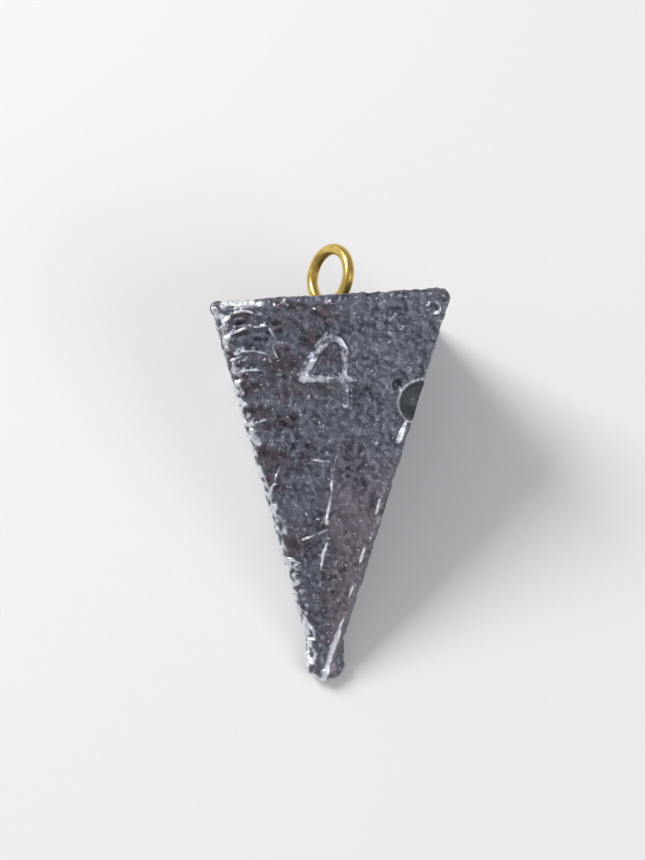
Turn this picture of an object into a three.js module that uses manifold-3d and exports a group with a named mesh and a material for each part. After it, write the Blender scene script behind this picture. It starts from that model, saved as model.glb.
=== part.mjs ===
// Pyramid sinker: a cast lead pyramid with a brass wire eye cast into its wide end.
// Sizes are in millimetres and +Z is up. It lies on one side face, its point towards -Y
// and its eye towards +Y. The origin is under the middle of its box.
import * as THREE from 'three';
import { ConvexGeometry } from 'three/addons/geometries/ConvexGeometry.js';
import { mergeVertices } from 'three/addons/utils/BufferGeometryUtils.js';
import Module from 'manifold-3d';

const wasm = await Module();
wasm.setup();

// Casting
const baseSide = 26;
const apexHeight = 45;
const edgeRadius = 1;
const edgeFacets = 6;
const baseLean = THREE.MathUtils.degToRad(3.9);

// Blunt, slightly flattened point
const nubWidth = 4.6;
const nubThickness = 2.5;
const nubLength = 6.5;
const nubEndRadius = 1.8;
const nubFacets = 24;

// Scooped nick in the upper right edge
const nickRadius = 2.3;
const nickFromBase = 13;
const nickStandoff = 0.9;
const nickFacets = 24;

// Raised weight numeral on the upper face
const numeralCentreX = -0.27;
const numeralFromTopEdge = 8.4;
const numeralStroke = 1;
const numeralRelief = 0.4;
const numeralSink = 0.6;
const numeralStrokes = [
  [[-2.6, -0.9], [0.6, 3.6]],
  [[0.6, 3.6], [2.0, 3.0]],
  [[2.0, 3.0], [2.1, -3.6]],
  [[-2.6, -0.9], [3.0, -0.8]],
];

// Wire eye
const wireDiameter = 1.3;
const eyeHole = 5;
const eyeTurn = THREE.MathUtils.degToRad(50);
const eyeLean = THREE.MathUtils.degToRad(4);
const legGap = 0.5;
const neckRadius = 1;
const legDepth = 11;
const footRadius = 3;
const footTurn = THREE.MathUtils.degToRad(40);
const footLength = 3;
const wireSides = 12;
const wireSteps = 96;
const castingGap = 0.3;
const pointSpacing = 0.6;

const sideTilt = Math.atan(baseSide / 2 / apexHeight);
const wireRadius = wireDiameter / 2;

// Joins a geometry's shared corners and makes a solid of it, with its faces pointing out.
function solid(geometry) {
  const bare = geometry.clone();
  bare.deleteAttribute('normal');
  bare.deleteAttribute('uv');
  const merged = mergeVertices(bare, 1e-5);
  const vertProperties = new Float32Array(merged.attributes.position.array);
  const corner = (i) => new THREE.Vector3().fromArray(vertProperties, 3 * i);
  const triangles = [];
  let volume = 0;
  for (let i = 0; i < merged.index.count; i += 3) {
    const [a, b, c] = [0, 1, 2].map((k) => merged.index.getX(i + k));
    if (a === b || b === c || c === a) continue;
    triangles.push([a, b, c]);
    volume += corner(a).dot(corner(b).cross(corner(c)));
  }
  if (volume < 0) triangles.forEach((triangle) => triangle.reverse());
  const triVerts = new Uint32Array(triangles.flat());
  return new wasm.Manifold(new wasm.Mesh({ numProp: 3, vertProperties, triVerts }));
}

function geometryOf(manifold) {
  const mesh = manifold.getMesh();
  const geometry = new THREE.BufferGeometry();
  geometry.setAttribute('position', new THREE.BufferAttribute(mesh.vertProperties, 3));
  geometry.setIndex(new THREE.BufferAttribute(mesh.triVerts, 1));
  geometry.computeVertexNormals();
  return geometry;
}

// The pyramid's own frame: +Y out of the wide end, whose centre is the origin.
const slope = Math.sin(sideTilt);
const rise = Math.cos(sideTilt);
const sideDistance = apexHeight * slope;
const sides = [
  new THREE.Vector3(0, -slope, rise),
  new THREE.Vector3(rise, -slope, 0),
  new THREE.Vector3(0, -slope, -rise),
  new THREE.Vector3(-rise, -slope, 0),
];
const base = new THREE.Vector3(-Math.sin(baseLean), Math.cos(baseLean), 0);

// Where three faces meet once each is moved in by the edge radius.
function meetingPoint(faces) {
  const [p, q, r] = faces.map((face) => face.normal);
  const inverse = new THREE.Matrix3().set(p.x, p.y, p.z, q.x, q.y, q.z, r.x, r.y, r.z).invert();
  const inset = new THREE.Vector3(...faces.map((face) => face.distance - edgeRadius));
  return inset.applyMatrix3(inverse);
}

// A patch of the rounding sphere between three directions.
function roundedCorner(centre, directions) {
  const points = [];
  for (let i = 0; i <= edgeFacets; i += 1) {
    for (let j = 0; j <= edgeFacets - i; j += 1) {
      const shares = [i, j, edgeFacets - i - j];
      const direction = new THREE.Vector3();
      directions.forEach((d, k) => direction.addScaledVector(d, shares[k]));
      points.push(centre.clone().addScaledVector(direction.normalize(), edgeRadius));
    }
  }
  return points;
}

function roundedPyramid() {
  const pointCentre = new THREE.Vector3(0, edgeRadius / slope - apexHeight, 0);
  const outward = new THREE.Vector3(0, -1, 0);
  const points = [];
  sides.forEach((side, i) => {
    const next = sides[(i + 1) % sides.length];
    const corner = meetingPoint([
      { normal: side, distance: sideDistance },
      { normal: next, distance: sideDistance },
      { normal: base, distance: 0 },
    ]);
    points.push(...roundedCorner(corner, [side, next, base]));
    points.push(...roundedCorner(pointCentre, [side, next, outward]));
  });
  return solid(new ConvexGeometry(points));
}

// The blunt end lies along the resting face, as wide as the pyramid is where it starts.
function bluntPoint() {
  const half = nubWidth / 2;
  const profile = [new THREE.Vector2(0, -nubEndRadius)];
  const quarter = Math.PI / 2;
  for (let i = 1; i <= edgeFacets; i += 1) {
    const t = (quarter * i) / edgeFacets;
    profile.push(new THREE.Vector2(half * Math.sin(t), -nubEndRadius * Math.cos(t)));
  }
  profile.push(new THREE.Vector2(half, nubLength - nubEndRadius));
  profile.push(new THREE.Vector2(0, nubLength - nubEndRadius));
  const geometry = new THREE.LatheGeometry(profile, nubFacets);
  geometry.scale(1, 1, nubThickness / nubWidth);
  const pointEnd = (apexHeight - edgeRadius / slope) * rise + edgeRadius;
  geometry.translate(0, nubEndRadius - pointEnd, nubThickness / 2 - sideDistance);
  geometry.rotateX(-sideTilt);
  return solid(geometry);
}

// One round-ended stroke of the numeral, standing out of the upper face.
function stroke([[x0, y0], [x1, y1]]) {
  const half = numeralStroke / 2;
  const along = Math.atan2(y1 - y0, x1 - x0);
  const outline = new THREE.Shape();
  outline.absarc(x0, y0, half, along + Math.PI / 2, along + 1.5 * Math.PI, false);
  outline.absarc(x1, y1, half, along - Math.PI / 2, along + Math.PI / 2, false);
  outline.closePath();
  const depth = numeralRelief + numeralSink;
  const geometry = new THREE.ExtrudeGeometry(outline, { depth, bevelEnabled: false });
  geometry.translate(numeralCentreX, 0, -numeralSink);
  geometry.rotateX(sideTilt);
  geometry.translate(0, -numeralFromTopEdge * rise, baseSide / 2 - numeralFromTopEdge * slope);
  return solid(geometry);
}

function nick() {
  const halfWidth = (baseSide / 2) * (1 - nickFromBase / apexHeight);
  const geometry = new THREE.SphereGeometry(nickRadius, nickFacets, nickFacets / 2);
  geometry.translate(halfWidth + nickStandoff, -nickFromBase, halfWidth + nickStandoff);
  return solid(geometry);
}

// Half of the wire's centre line, from the top of the loop to the end of one foot,
// x across the loop and y out of the lead.
function halfWire(extraFoot) {
  const loopRadius = eyeHole / 2 + wireRadius;
  const loopCentre = loopRadius + wireRadius;
  const leg = wireRadius + legGap / 2;
  const neckAngle = Math.asin((leg + neckRadius) / (loopRadius + neckRadius));
  const neckCentre = loopCentre - (loopRadius + neckRadius) * Math.cos(neckAngle);
  const points = [];
  const arc = (x, y, radius, from, to) => {
    const count = Math.max(2, Math.ceil((radius * Math.abs(to - from)) / pointSpacing));
    for (let i = 0; i <= count; i += 1) {
      const t = from + ((to - from) * i) / count;
      points.push(new THREE.Vector2(x + radius * Math.sin(t), y + radius * Math.cos(t)));
    }
  };
  arc(0, loopCentre, loopRadius, 0, Math.PI - neckAngle);
  arc(leg + neckRadius, neckCentre, neckRadius, -neckAngle, -Math.PI / 2);
  const straight = legDepth + neckCentre;
  const count = Math.ceil(straight / pointSpacing);
  for (let i = 1; i < count; i += 1) {
    points.push(new THREE.Vector2(leg, neckCentre - (straight * i) / count));
  }
  arc(leg + footRadius, -legDepth, footRadius, -Math.PI / 2, -Math.PI / 2 - footTurn);
  const end = points[points.length - 1];
  const away = new THREE.Vector2(Math.sin(footTurn), -Math.cos(footTurn));
  points.push(end.clone().addScaledVector(away, footLength + extraFoot));
  return points;
}

function wireGeometry(radius, extraFoot) {
  const half = halfWire(extraFoot);
  const other = half.slice(1).map((p) => new THREE.Vector2(-p.x, p.y));
  const route = [...half.reverse(), ...other].map((p) => new THREE.Vector3(p.x, p.y, 0));
  const distinct = route.filter((p, i) => i === 0 || p.distanceTo(route[i - 1]) > 1e-4);
  const path = new THREE.CatmullRomCurve3(distinct, false, 'centripetal');
  const corners = Array.from({ length: wireSides }, (_, i) => {
    const t = (2 * Math.PI * i) / wireSides;
    return new THREE.Vector2(radius * Math.cos(t), radius * Math.sin(t));
  });
  const section = new THREE.Shape(corners);
  const geometry = new THREE.ExtrudeGeometry(section, { steps: wireSteps, extrudePath: path });
  geometry.rotateY(-eyeTurn);
  geometry.rotateZ(-eyeLean);
  return geometry;
}

const leadMaterial = new THREE.MeshStandardMaterial({
  color: new THREE.Color(0.2, 0.21, 0.235),
  metalness: 0.8,
  roughness: 0.5,
});

const brassMaterial = new THREE.MeshStandardMaterial({
  color: new THREE.Color(0.7, 0.52, 0.22),
  metalness: 1,
  roughness: 0.3,
});

function leadBody() {
  let body = roundedPyramid().add(bluntPoint());
  numeralStrokes.forEach((ends) => {
    body = body.add(stroke(ends));
  });
  body = body.subtract(nick());
  body = body.subtract(solid(wireGeometry(wireRadius + castingGap, castingGap)));
  const mesh = new THREE.Mesh(geometryOf(body), leadMaterial);
  mesh.name = 'lead_body';
  return mesh;
}

function wireEye() {
  const mesh = new THREE.Mesh(geometryOf(solid(wireGeometry(wireRadius, 0))), brassMaterial);
  mesh.name = 'wire_eye';
  return mesh;
}

// Lays the casting on its lower side face, with the origin under the middle of its box.
const casting = new THREE.Group();
casting.rotation.x = sideTilt;
casting.add(leadBody(), wireEye());

const sinker = new THREE.Group();
sinker.add(casting);
sinker.updateMatrixWorld(true);
const box = new THREE.Box3().setFromObject(sinker, true);
const middle = box.getCenter(new THREE.Vector3());
casting.position.set(-middle.x, -middle.y, -box.min.z);

export default sinker;
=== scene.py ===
# Pyramid sinker: a tarnished lead casting with a brass wire eye, on a pale floor.
import math

import bmesh
import bpy
import numpy as np
from mathutils import Euler, Matrix, Vector


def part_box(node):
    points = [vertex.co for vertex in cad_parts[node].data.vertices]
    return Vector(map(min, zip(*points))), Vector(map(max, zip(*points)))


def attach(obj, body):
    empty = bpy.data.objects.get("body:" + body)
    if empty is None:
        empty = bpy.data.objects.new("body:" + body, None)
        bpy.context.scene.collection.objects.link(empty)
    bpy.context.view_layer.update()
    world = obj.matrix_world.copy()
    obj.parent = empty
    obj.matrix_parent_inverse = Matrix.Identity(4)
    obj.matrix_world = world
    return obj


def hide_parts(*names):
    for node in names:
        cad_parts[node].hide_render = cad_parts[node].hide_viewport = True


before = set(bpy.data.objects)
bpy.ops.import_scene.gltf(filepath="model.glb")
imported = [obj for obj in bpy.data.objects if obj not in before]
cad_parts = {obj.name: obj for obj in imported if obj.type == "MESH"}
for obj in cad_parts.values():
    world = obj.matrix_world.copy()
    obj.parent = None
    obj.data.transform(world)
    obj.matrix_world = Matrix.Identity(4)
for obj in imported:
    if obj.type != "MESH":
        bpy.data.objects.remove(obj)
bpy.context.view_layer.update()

MM = 0.001

# The casting's sizes in millimetres
BASE_SIDE = 26.0
APEX_HEIGHT = 45.0
EDGE_RADIUS = 1.0
BASE_LEAN = math.radians(3.9)
NUB_WIDTH = 4.6
NUB_THICKNESS = 2.5
NUB_LENGTH = 6.5
NUB_END = 1.8
NICK_RADIUS = 2.25
NICK_FROM_BASE = 11.4
NICK_STANDOFF = 0.35
NUMERAL_X = -0.27
NUMERAL_DOWN = 8.4
NUMERAL_STROKE = 1.15
NUMERAL_RELIEF = 0.42
NUMERAL_ROUTES = [
    [(-2.6, -0.9), (-0.5, 2.7), (0.4, 3.6), (1.4, 3.4), (2.0, 2.4), (2.1, -3.6)],
    [(-2.6, -0.9), (3.0, -0.8)],
]
SKIN_VOXEL = 0.13

# The eye's sizes in millimetres
WIRE_RADIUS = 0.65
EYE_HOLE = 5.0
EYE_TURN = math.radians(50)
EYE_LEAN = math.radians(4)
LEG_GAP = 0.5
NECK_RADIUS = 1.0
LEG_DEPTH = 11.0
FOOT_RADIUS = 3.0
FOOT_TURN = math.radians(40)
FOOT_LENGTH = 3.0
WIRE_SPACING = 0.15

# Marks on the upper face: millimetres across from its middle, and down it from the top edge
CREASE = [(0.96, 17.9), (0.44, 19.8), (0.57, 21.7), (0.17, 23.6), (0.03, 25.7),
          (-0.12, 27.4), (-0.43, 29.3), (-0.63, 31.2), (-0.8, 32.9)]
RIPPLES = [
    [(-11.05, 5.25), (-10, 4.4), (-8.6, 3.85), (-6.8, 3.6)],
    [(-9.9, 6.8), (-9.05, 6.35), (-7.9, 6.25), (-6.4, 6.6)],
    [(-9.75, 8.95), (-8.8, 8.4), (-7.5, 8.3)],
    [(-11.1, 3.5), (-10.4, 2.45), (-9.15, 2.1), (-8.1, 2.25)],
]
SCRATCHES = [
    [(-6.2, 4.05), (-5.8, 5.1), (-6, 5.9), (-5.5, 7)],
    [(-8.4, 14.5), (-6.7, 13.8)],
    [(-10.4, 7.4), (-9.3, 7)],
    [(-5.25, 19.1), (-6.1, 21.9)],
    [(-1.8, 18.2), (0.2, 18.5)],
    [(-2.7, 27.4), (-0.1, 26.3)],
    [(-4.3, 29.5), (-2.9, 30.1)],
]
CRATER = (11.0, 1.6)
CRATER_RADIUS = 0.7

SIDE_TILT = math.atan(BASE_SIDE / 2 / APEX_HEIGHT)
SLOPE = math.sin(SIDE_TILT)
RISE = math.cos(SIDE_TILT)
SLANT = APEX_HEIGHT / RISE
SIDE_DISTANCE = APEX_HEIGHT * SLOPE
SIDES = [(0, -SLOPE, RISE), (RISE, -SLOPE, 0), (0, -SLOPE, -RISE), (-RISE, -SLOPE, 0)]
BASE = (-math.sin(BASE_LEAN), math.cos(BASE_LEAN), 0)
LYING = Matrix.Rotation(SIDE_TILT, 4, "X")

# The upper face's own frame: x across, y up the face, z out of it, from its top edge's middle
FACE = LYING @ Matrix.Translation((0, 0, BASE_SIDE / 2)) @ Matrix.Rotation(SIDE_TILT, 4, "X")


# Shapes
def hull(place, balls):
    """A mesh of the convex hull of balls, each a centre and three radii, put in place by a matrix."""
    bm = bmesh.new()
    for centre, radii in balls:
        ball = place @ Matrix.Translation(centre) @ Matrix.Diagonal((*radii, 1.0))
        bmesh.ops.create_icosphere(bm, subdivisions=4, radius=1.0, matrix=ball)
    corners = [v.co.copy() for v in bm.verts]
    bm.clear()
    for corner in corners:
        bm.verts.new(corner)
    bmesh.ops.convex_hull(bm, input=bm.verts[:])
    inside = [v for v in bm.verts if not v.link_faces]
    bmesh.ops.delete(bm, geom=inside, context="VERTS")
    bmesh.ops.recalc_face_normals(bm, faces=bm.faces[:])
    mesh = bpy.data.meshes.new("hull")
    bm.to_mesh(mesh)
    bm.free()
    return mesh


def rounded_pyramid():
    round_ball = (EDGE_RADIUS,) * 3
    balls = [((0, EDGE_RADIUS / SLOPE - APEX_HEIGHT, 0), round_ball)]
    for i, side in enumerate(SIDES):
        faces = np.array([side, SIDES[(i + 1) % len(SIDES)], BASE])
        reach = np.array([SIDE_DISTANCE, SIDE_DISTANCE, 0.0]) - EDGE_RADIUS
        balls.append((tuple(np.linalg.solve(faces, reach)), round_ball))
    return hull(LYING, balls)


def blunt_point():
    radii = (NUB_WIDTH / 2, NUB_END, NUB_THICKNESS / 2)
    point_end = (APEX_HEIGHT - EDGE_RADIUS / SLOPE) * RISE + EDGE_RADIUS
    height = NUB_THICKNESS / 2 - SIDE_DISTANCE
    front = NUB_END - point_end
    back = front + NUB_LENGTH - 2 * NUB_END
    return hull(Matrix.Identity(4), [((0, front, height), radii), ((0, back, height), radii)])


def numeral():
    half = NUMERAL_STROKE / 2
    radii = (half, half, NUMERAL_RELIEF)
    centre = Vector((NUMERAL_X, -NUMERAL_DOWN, 0))
    return [
        hull(FACE, [(centre + Vector((*end, 0)), radii) for end in ends])
        for route in NUMERAL_ROUTES
        for ends in zip(route, route[1:])
    ]


def voxel_skin(meshes):
    """One closed skin round overlapping closed meshes."""
    bm = bmesh.new()
    for mesh in meshes:
        bm.from_mesh(mesh)
    joined = bpy.data.meshes.new("joined")
    bm.to_mesh(joined)
    bm.free()
    source = bpy.data.objects.new("joined", joined)
    bpy.context.scene.collection.objects.link(source)
    remesh = source.modifiers.new("skin", "REMESH")
    remesh.mode = "VOXEL"
    remesh.voxel_size = SKIN_VOXEL
    depsgraph = bpy.context.evaluated_depsgraph_get()
    skin = bpy.data.meshes.new_from_object(source.evaluated_get(depsgraph))
    bpy.data.objects.remove(source)
    return skin


# Fields on the skin
def lattice_noise(points, scale, seed):
    """Smooth noise from -1 to 1 that changes over about scale millimetres."""
    turned = np.array(Euler((seed, 2.0 * seed, 3.0 * seed)).to_matrix())
    place = points @ turned / scale
    cell = np.floor(place).astype(np.int64)
    part = place - cell
    part = part * part * (3 - 2 * part)
    total = np.zeros(len(points))
    for corner in np.ndindex(2, 2, 2):
        c = cell + np.array(corner)
        mixed = c[:, 0] * 73856093 ^ c[:, 1] * 19349663 ^ c[:, 2] * 83492791 ^ seed * 961748927
        mixed = (mixed ^ (mixed >> 13)) * 1274126177 & 0xFFFFFFFF
        value = ((mixed ^ (mixed >> 15)) & 0xFFFF) / 0x7FFF - 1
        weight = np.prod(np.where(np.array(corner) == 1, part, 1 - part), axis=1)
        total += weight * value
    return total


def ramp(value, low, high):
    """0 below low, 1 above high, smooth between. High may be below low."""
    t = np.clip((value - low) / (high - low), 0, 1)
    return t * t * (3 - 2 * t)


def bump(distance, width):
    return np.exp(-((distance / width) ** 2))


def from_line(x, down, line):
    """Distance to a line through points, and 1 or -1 for the side: 1 is right of a line going down."""
    nearest = np.full(len(x), np.inf)
    side = np.zeros(len(x))
    for (x0, d0), (x1, d1) in zip(line, line[1:]):
        ex = x1 - x0
        ed = d1 - d0
        t = np.clip(((x - x0) * ex + (down - d0) * ed) / (ex * ex + ed * ed), 0, 1)
        px = x - x0 - t * ex
        pd = down - d0 - t * ed
        distance = np.hypot(px, pd)
        nearer = distance < nearest
        nearest = np.where(nearer, distance, nearest)
        side = np.where(nearer, np.sign(ed * px - ex * pd), side)
    return nearest, side


def scoop_nick(points):
    """Moves what lies inside the nick's ball out to its surface. Gives what is in it, which gets
    painted shade, and its rim, which gets a painted highlight.
    """
    half = BASE_SIDE / 2 * (1 - NICK_FROM_BASE / APEX_HEIGHT) + NICK_STANDOFF
    centre = np.array(LYING @ Vector((half, -NICK_FROM_BASE, half)))
    offset = points - centre
    distance = np.linalg.norm(offset, axis=1)
    inside = distance < NICK_RADIUS
    points[inside] = centre + offset[inside] * (NICK_RADIUS / distance[inside])[:, None]
    within = ramp(distance, NICK_RADIUS + 0.25, NICK_RADIUS + 0.05)
    return within, bump(distance - NICK_RADIUS - 0.3, 0.14)


def face_places(points):
    """Each point's place across the upper face, down it, and out of it."""
    inward = np.array(FACE.inverted())
    local = points @ inward[:3, :3].T + inward[:3, 3]
    return local[:, 0], -local[:, 1], local[:, 2]


def surface_marks(points, normals):
    """The height of the casting's marks in millimetres, how worn, purple and dark it is, and the
    painted shade of its pit.
    """
    x, down, out_of_face = face_places(points)
    facing = normals @ np.array(FACE.to_3x3().col[2])
    on_face = ramp(facing, 0.75, 0.95)
    near_face = ramp(facing, -0.3, 0.2)
    half = BASE_SIDE / 2 * (1 - down / SLANT)
    from_left = x + half
    from_right = half - x
    from_top = down + x * math.tan(BASE_LEAN)

    # The crumpled skin of the casting, smoother right of the lap
    broad = lattice_noise(points, 6.0, 1)
    middle = lattice_noise(points, 1.7, 2)
    small = lattice_noise(points, 0.75, 3)
    fine = lattice_noise(points, 0.38, 4)
    purple = on_face * ramp(x + 0.25 * middle, -0.4, 0.9) * ramp(down, 15, 24)
    rough = 1 - 0.65 * purple
    crumple = np.abs(lattice_noise(points, 0.95, 10)) + 0.6 * np.abs(lattice_noise(points, 0.5, 11))
    height = 0.09 * broad + 0.07 * middle
    height += rough * (0.08 * small + 0.05 * fine - 0.15 * crumple)
    height -= rough * 0.1 * ramp(lattice_noise(points, 1.1, 5), 0.42, 0.75)
    wear_and_highlight = 0.35 * ramp(small + 0.7 * fine - crumple, 0.1, 0.9)

    # The lap where the lead ran together down the middle
    crease, side = from_line(x + 0.2 * middle + 0.1 * small, down, CREASE)
    broken = ramp(lattice_noise(points, 1.3, 6), -0.55, 0.1)
    ridge = on_face * bump(crease, 0.13) * broken
    height += 0.15 * ridge
    height -= on_face * 0.09 * ramp(side, 0, 0.5) * bump(crease, 2.2)
    wear_and_highlight += 1.2 * ridge

    # Cold ripples at the upper left, with fine cuts and scratches
    for line in RIPPLES:
        distance, _ = from_line(x, down + 0.12 * middle + 0.06 * small, line)
        height += on_face * (0.12 * bump(distance, 0.2) - 0.16 * bump(distance - 0.5, 0.3))
        wear_and_highlight += on_face * 0.9 * bump(distance, 0.13) * ramp(small + fine, -0.9, 0.1)
    for line in SCRATCHES:
        distance, _ = from_line(x + 0.1 * small, down + 0.05 * fine, line)
        height += on_face * (0.06 * bump(distance, 0.1) - 0.08 * bump(distance - 0.25, 0.14))
        wear_and_highlight += on_face * 0.9 * bump(distance, 0.1) * ramp(small, -0.8, 0.0)

    crater = np.hypot(x - CRATER[0], down - CRATER[1]) + 0.12 * small
    height += on_face * (0.1 * bump(crater - CRATER_RADIUS, 0.18) - 0.22 * bump(crater, 0.4))
    wear_and_highlight += on_face * 0.9 * bump(crater - CRATER_RADIUS, 0.17) * ramp(fine + small, -0.4, 0.4)

    # Left edge: a scaly worn band out to the rounding. Right edge: broken flash, whole at the tip
    streak = points * np.array([1.0, 0.45, 1.0])
    scaly = near_face * ramp(from_left + 0.5 * middle + 0.4 * small, 1.6, 0.3) * ramp(down, 0.5, 3)
    flakes = ramp(lattice_noise(streak, 0.42, 7) + 0.6 * fine, -0.3, 0.4)
    height += scaly * (0.13 * flakes - 0.06)
    wear_and_highlight += scaly * (0.15 + 0.85 * flakes)
    whole = ramp(down, 36, 39)
    flash = bump(from_right - 0.95 - 0.16 * small - 0.1 * middle, 0.13 + 0.15 * whole) * near_face
    flash *= np.maximum(whole, ramp(lattice_noise(points, 1.5, 8), 0.0, 0.45)) * ramp(down, 5, 8)
    height += 0.2 * flash
    wear_and_highlight += 1.2 * flash
    burr = np.hypot((x - 8.1 + 0.25 * (down - 15)) / 0.32, (down - 15) / 1.3)
    wear_and_highlight += near_face * ramp(burr, 1.1, 0.7)
    height += 0.15 * near_face * ramp(burr, 1.1, 0.5)
    pit = np.hypot((x - 7.35) / 0.55, (down - 9.9) / 0.75)
    height -= 0.35 * near_face * ramp(pit, 1.2, 0.4)

    # What handling has rubbed bright, the maroon tarnish blotches, and painted shade in the pit
    numeral_area = ramp(np.abs(x - NUMERAL_X), 4.2, 3.6) * ramp(np.abs(down - NUMERAL_DOWN), 5.2, 4.6)
    raised = on_face * numeral_area * ramp(out_of_face, 0.1, 0.3)
    height -= raised * 0.12 * ramp(middle + 0.6 * small, -0.2, 0.6)
    wear_and_highlight += 0.7 * raised * ramp(small + 0.6 * fine - 0.1 * x, -0.9, 0.5)
    rim = near_face * ramp(x, -6.5, -7.4) * ramp(x, -11.8, -11.2) * ramp(from_top, 1.4, 0.7)
    wear_and_highlight += rim * ramp(small + fine, -0.7, 0.2)
    blotch = ramp(0.5 * broad + middle + 0.7 * small, -0.5, 0.9)
    dark = blotch * (0.3 + 0.5 * on_face * ramp(x, 5, -3))
    # Painted shade: the pit is darkened in colour, as if in its own shadow.
    painted_shade = near_face * ramp(pit, 1.2, 0.5)
    return height, *(np.clip(field, 0, 1) for field in (wear_and_highlight, purple, dark, painted_shade))


def flare_corner(points):
    """The upper left corner stands out a little past the straight edge."""
    x, down, _ = face_places(points)
    near = ramp(x, -11, -12.6) * ramp(down, 3.2, 0.8)
    points[:, 0] -= 0.55 * near


# Node helpers
def new_material(name):
    material = bpy.data.materials.new(name)
    material.use_nodes = True
    tree = material.node_tree
    return material, tree, tree.nodes["Principled BSDF"]


def add(tree, kind, **inputs):
    node = tree.nodes.new(kind)
    for name, value in inputs.items():
        node.inputs[name.replace("_", " ")].default_value = value
    return node


def attribute(tree, name):
    node = tree.nodes.new("ShaderNodeAttribute")
    node.attribute_name = name
    return node.outputs["Fac"]


def object_noise(tree, scale, detail):
    coordinates = tree.nodes.new("ShaderNodeTexCoord")
    noise = add(tree, "ShaderNodeTexNoise", Scale=scale, Detail=detail)
    tree.links.new(coordinates.outputs["Object"], noise.inputs["Vector"])
    return noise.outputs["Fac"]


def map_range(tree, value, low, high, to_low, to_high):
    node = tree.nodes.new("ShaderNodeMapRange")
    for name, number in zip(("From Min", "From Max", "To Min", "To Max"), (low, high, to_low, to_high)):
        node.inputs[name].default_value = number
    tree.links.new(value, node.inputs["Value"])
    return node.outputs["Result"]


def mix_colors(tree, factor, first, second):
    """Mixes two colours, each a colour or a socket, by a factor socket."""
    node = tree.nodes.new("ShaderNodeMix")
    node.data_type = "RGBA"
    tree.links.new(factor, node.inputs[0])
    for socket, value in ((node.inputs[6], first), (node.inputs[7], second)):
        if isinstance(value, tuple):
            socket.default_value = (*value, 1)
        else:
            tree.links.new(value, socket)
    return node.outputs[2]


def add_bump(tree, shader, height, strength, distance):
    node = add(tree, "ShaderNodeBump", Strength=strength, Distance=distance)
    tree.links.new(height, node.inputs["Height"])
    tree.links.new(node.outputs["Normal"], shader.inputs["Normal"])


# Materials
def lead_material():
    material, tree, shader = new_material("cast_lead")
    black = (0.025, 0.025, 0.033)
    blue_grey = (0.2, 0.22, 0.26)
    maroon = (0.12, 0.075, 0.09)
    purple_grey = (0.25, 0.21, 0.245)
    # shaded is a painted shade colour, for the nick and the pit.
    bright = (0.82, 0.84, 0.88)
    shaded = (0.07, 0.08, 0.085)
    tarnish = mix_colors(tree, attribute(tree, "dark"), blue_grey, maroon)
    tarnish = mix_colors(tree, attribute(tree, "purple"), tarnish, purple_grey)
    mottle = map_range(tree, object_noise(tree, 1500, 8), 0.36, 0.62, 0, 1)
    mottled = mix_colors(tree, mottle, black, tarnish)
    clouds = map_range(tree, object_noise(tree, 380, 4), 0.35, 0.65, 0.25, 0.9)
    mottled = mix_colors(tree, clouds, tarnish, mottled)
    speck = map_range(tree, object_noise(tree, 2300, 6), 0.65, 0.71, 0, 0.7)
    mottled = mix_colors(tree, speck, mottled, bright)
    # Painted shade: the nick and the pit are mixed towards the shaded colour.
    mottled = mix_colors(tree, attribute(tree, "painted_shade"), mottled, shaded)
    # Bright rubbed metal where the casting is worn, and the painted highlight on the nick's rim.
    rubbed_and_highlight = map_range(tree, attribute(tree, "wear_and_highlight"), 0.15, 0.85, 0, 1)
    tree.links.new(mix_colors(tree, rubbed_and_highlight, mottled, bright), shader.inputs["Base Color"])
    roughness = map_range(tree, object_noise(tree, 1500, 4), 0.35, 0.65, 0.28, 0.5)
    tree.links.new(roughness, shader.inputs["Roughness"])
    shader.inputs["Metallic"].default_value = 0.8
    add_bump(tree, shader, object_noise(tree, 1700, 7), 0.75, 0.00022)
    return material


def brass_material():
    material, tree, shader = new_material("brass_wire")
    clean = (0.75, 0.52, 0.14)
    dulled = (0.4, 0.25, 0.06)
    stain = map_range(tree, object_noise(tree, 420, 5), 0.42, 0.7, 0, 0.8)
    tree.links.new(mix_colors(tree, stain, clean, dulled), shader.inputs["Base Color"])
    roughness = map_range(tree, object_noise(tree, 900, 3), 0.3, 0.7, 0.2, 0.4)
    tree.links.new(roughness, shader.inputs["Roughness"])
    shader.inputs["Metallic"].default_value = 1
    add_bump(tree, shader, object_noise(tree, 3000, 3), 0.2, 0.00004)
    return material


def floor_material():
    material, _, shader = new_material("pale_floor")
    shader.inputs["Base Color"].default_value = (0.8, 0.79, 0.77, 1)
    shader.inputs["Roughness"].default_value = 0.9
    shader.inputs["Specular IOR Level"].default_value = 0.1
    return material


# Pieces
def finish_piece(name, mesh, node, material):
    piece = bpy.data.objects.new(name, mesh)
    bpy.context.scene.collection.objects.link(piece)
    mesh.materials.clear()
    mesh.materials.append(material)
    mesh.polygons.foreach_set("use_smooth", np.ones(len(mesh.polygons), dtype=bool))
    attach(piece, "root")
    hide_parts(node)
    return piece


def vertex_array(mesh):
    flat = np.empty(3 * len(mesh.vertices))
    mesh.vertices.foreach_get("co", flat)
    return flat.reshape(-1, 3)


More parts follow.
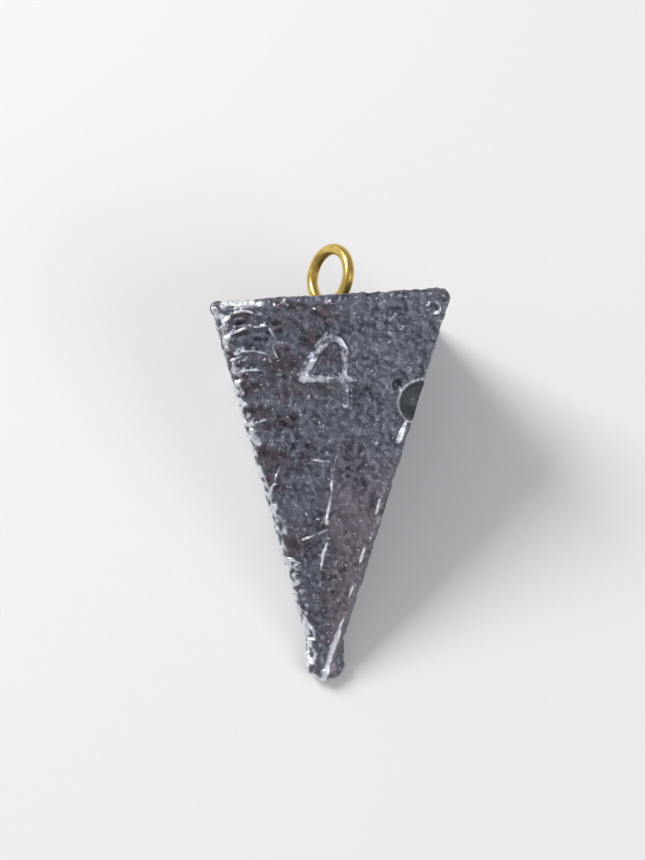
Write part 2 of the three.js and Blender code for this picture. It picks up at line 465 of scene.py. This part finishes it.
def lead_skin():
    """The casting's skin, and the shift in millimetres from the lying frame to the row's."""
    mesh = voxel_skin([rounded_pyramid(), blunt_point(), *numeral()])
    points = vertex_array(mesh)
    low, high = (np.array(corner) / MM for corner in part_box("lead_body"))
    shift = (low + high) / 2 - (points.min(axis=0) + points.max(axis=0)) / 2
    shift[2] = low[2] - points[:, 2].min()
    flare_corner(points)
    in_nick, rim = scoop_nick(points)
    normals = np.empty(3 * len(points))
    mesh.vertices.foreach_set("co", points.ravel())
    mesh.update()
    mesh.vertex_normals.foreach_get("vector", normals)
    normals = normals.reshape(-1, 3)
    height, wear_and_highlight, purple, dark, painted_shade = surface_marks(points, normals)
    height *= 1 - 0.9 * in_nick
    points += normals * height[:, None]
    points += shift
    points[:, 2] = np.maximum(points[:, 2], low[2])
    mesh.vertices.foreach_set("co", (points * MM).ravel())
    # No wear inside the nick, and a painted highlight on its rim.
    wear_and_highlight = np.clip(wear_and_highlight * (1 - in_nick) + 0.55 * rim, 0, 1)
    # Painted shade inside the nick, joined to the painted shade of the pit.
    painted_shade = np.maximum(painted_shade, 0.85 * in_nick)
    fields = {"wear_and_highlight": wear_and_highlight, "purple": purple, "dark": dark, "painted_shade": painted_shade}
    for name, values in fields.items():
        layer = mesh.attributes.new(name, "FLOAT", "POINT")
        layer.data.foreach_set("value", values.astype(np.float32))
    mesh.update()
    finish_piece("lead_skin", mesh, "lead_body", lead_material())
    return shift


def half_wire():
    """Half of the wire's centre line, from the loop's top to a foot's end."""
    loop = EYE_HOLE / 2 + WIRE_RADIUS
    loop_centre = loop + WIRE_RADIUS
    leg = WIRE_RADIUS + LEG_GAP / 2
    neck_angle = math.asin((leg + NECK_RADIUS) / (loop + NECK_RADIUS))
    neck_centre = loop_centre - (loop + NECK_RADIUS) * math.cos(neck_angle)
    quarter = math.pi / 2
    points = []

    def arc(x, y, radius, start, end):
        count = max(2, math.ceil(radius * abs(end - start) / WIRE_SPACING))
        for t in np.linspace(start, end, count + 1):
            points.append((x + radius * math.sin(t), y + radius * math.cos(t)))

    arc(0, loop_centre, loop, 0, math.pi - neck_angle)
    arc(leg + NECK_RADIUS, neck_centre, NECK_RADIUS, -neck_angle, -quarter)
    arc(leg + FOOT_RADIUS, -LEG_DEPTH, FOOT_RADIUS, -quarter, -quarter - FOOT_TURN)
    x, y = points[-1]
    points.append((x + FOOT_LENGTH * math.sin(FOOT_TURN), y - FOOT_LENGTH * math.cos(FOOT_TURN)))
    return points


def brass_loop(shift):
    half = half_wire()
    route = [(x, y) for x, y in reversed(half)] + [(-x, y) for x, y in half[1:]]
    kept = [route[0]]
    for point in route[1:]:
        if math.dist(point, kept[-1]) > WIRE_SPACING / 4:
            kept.append(point)
    eye = LYING @ Matrix.Rotation(-EYE_LEAN, 4, "Z") @ Matrix.Rotation(-EYE_TURN, 4, "Y")
    curve = bpy.data.curves.new("wire", "CURVE")
    curve.dimensions = "3D"
    curve.bevel_depth = WIRE_RADIUS
    curve.bevel_resolution = 8
    curve.use_fill_caps = True
    spline = curve.splines.new("POLY")
    spline.points.add(len(kept) - 1)
    for point, (x, y) in zip(spline.points, kept):
        point.co = (*(eye @ Vector((x, y, 0))), 1)
    source = bpy.data.objects.new("wire", curve)
    bpy.context.scene.collection.objects.link(source)
    depsgraph = bpy.context.evaluated_depsgraph_get()
    mesh = bpy.data.meshes.new_from_object(source.evaluated_get(depsgraph))
    bpy.data.objects.remove(source)
    points = vertex_array(mesh)
    points = (points + shift) * MM
    mesh.vertices.foreach_set("co", points.ravel())
    mesh.update()
    finish_piece("brass_loop", mesh, "wire_eye", brass_material())


# Stage, light and camera
def floor():
    size = 3.0
    mesh = bpy.data.meshes.new("floor")
    corners = [(-size, -size, 0), (size, -size, 0), (size, size, 0), (-size, size, 0)]
    mesh.from_pydata(corners, [], [(0, 1, 2, 3)])
    mesh.materials.append(floor_material())
    plane = bpy.data.objects.new("floor", mesh)
    bpy.context.scene.collection.objects.link(plane)


def area_light(name, place, size, power):
    light = bpy.data.lights.new(name, "AREA")
    light.shape = "SQUARE"
    light.size = size
    light.energy = power
    lamp = bpy.data.objects.new(name, light)
    bpy.context.scene.collection.objects.link(lamp)
    lamp.location = place
    lamp.rotation_euler = (-Vector(place)).to_track_quat("-Z", "Y").to_euler()


def lighting():
    area_light("key", (-0.45, 0.3, 0.5), 0.3, 4.5)
    area_light("fill", (0.5, -0.35, 0.45), 0.4, 1.5)
    world = bpy.data.worlds.new("studio")
    bpy.context.scene.world = world
    world.use_nodes = True
    background = world.node_tree.nodes["Background"]
    background.inputs["Color"].default_value = (0.9, 0.92, 1, 1)
    background.inputs["Strength"].default_value = 0.45


def camera():
    """The photograph's view: turned, raised and rolled round a target, in millimetres."""
    target = Vector((-0.74, 2.18, 12.0))
    distance = 144.45
    elevation = math.radians(71.45)
    turn = math.radians(-1.87)
    roll = math.radians(2.27)
    image_height = 860
    focal_pixels = 1292
    back = Vector((
        math.sin(turn) * math.cos(elevation),
        -math.cos(turn) * math.cos(elevation),
        math.sin(elevation),
    ))
    level = Vector((math.cos(turn), math.sin(turn), 0))
    up = back.cross(level)
    right = math.cos(roll) * level + math.sin(roll) * up
    top = -math.sin(roll) * level + math.cos(roll) * up
    data = bpy.data.cameras.new("camera")
    data.sensor_width = 36
    data.lens = focal_pixels * data.sensor_width / image_height
    data.clip_start = 0.005
    view = bpy.data.objects.new("camera", data)
    bpy.context.scene.collection.objects.link(view)
    axes = Matrix((right, top, back)).transposed().to_4x4()
    view.matrix_world = Matrix.Translation((target + back * distance) * MM) @ axes
    bpy.context.scene.camera = view


camera()
brass_loop(lead_skin())
floor()
lighting()
bpy.context.scene.view_settings.view_transform = "Standard"
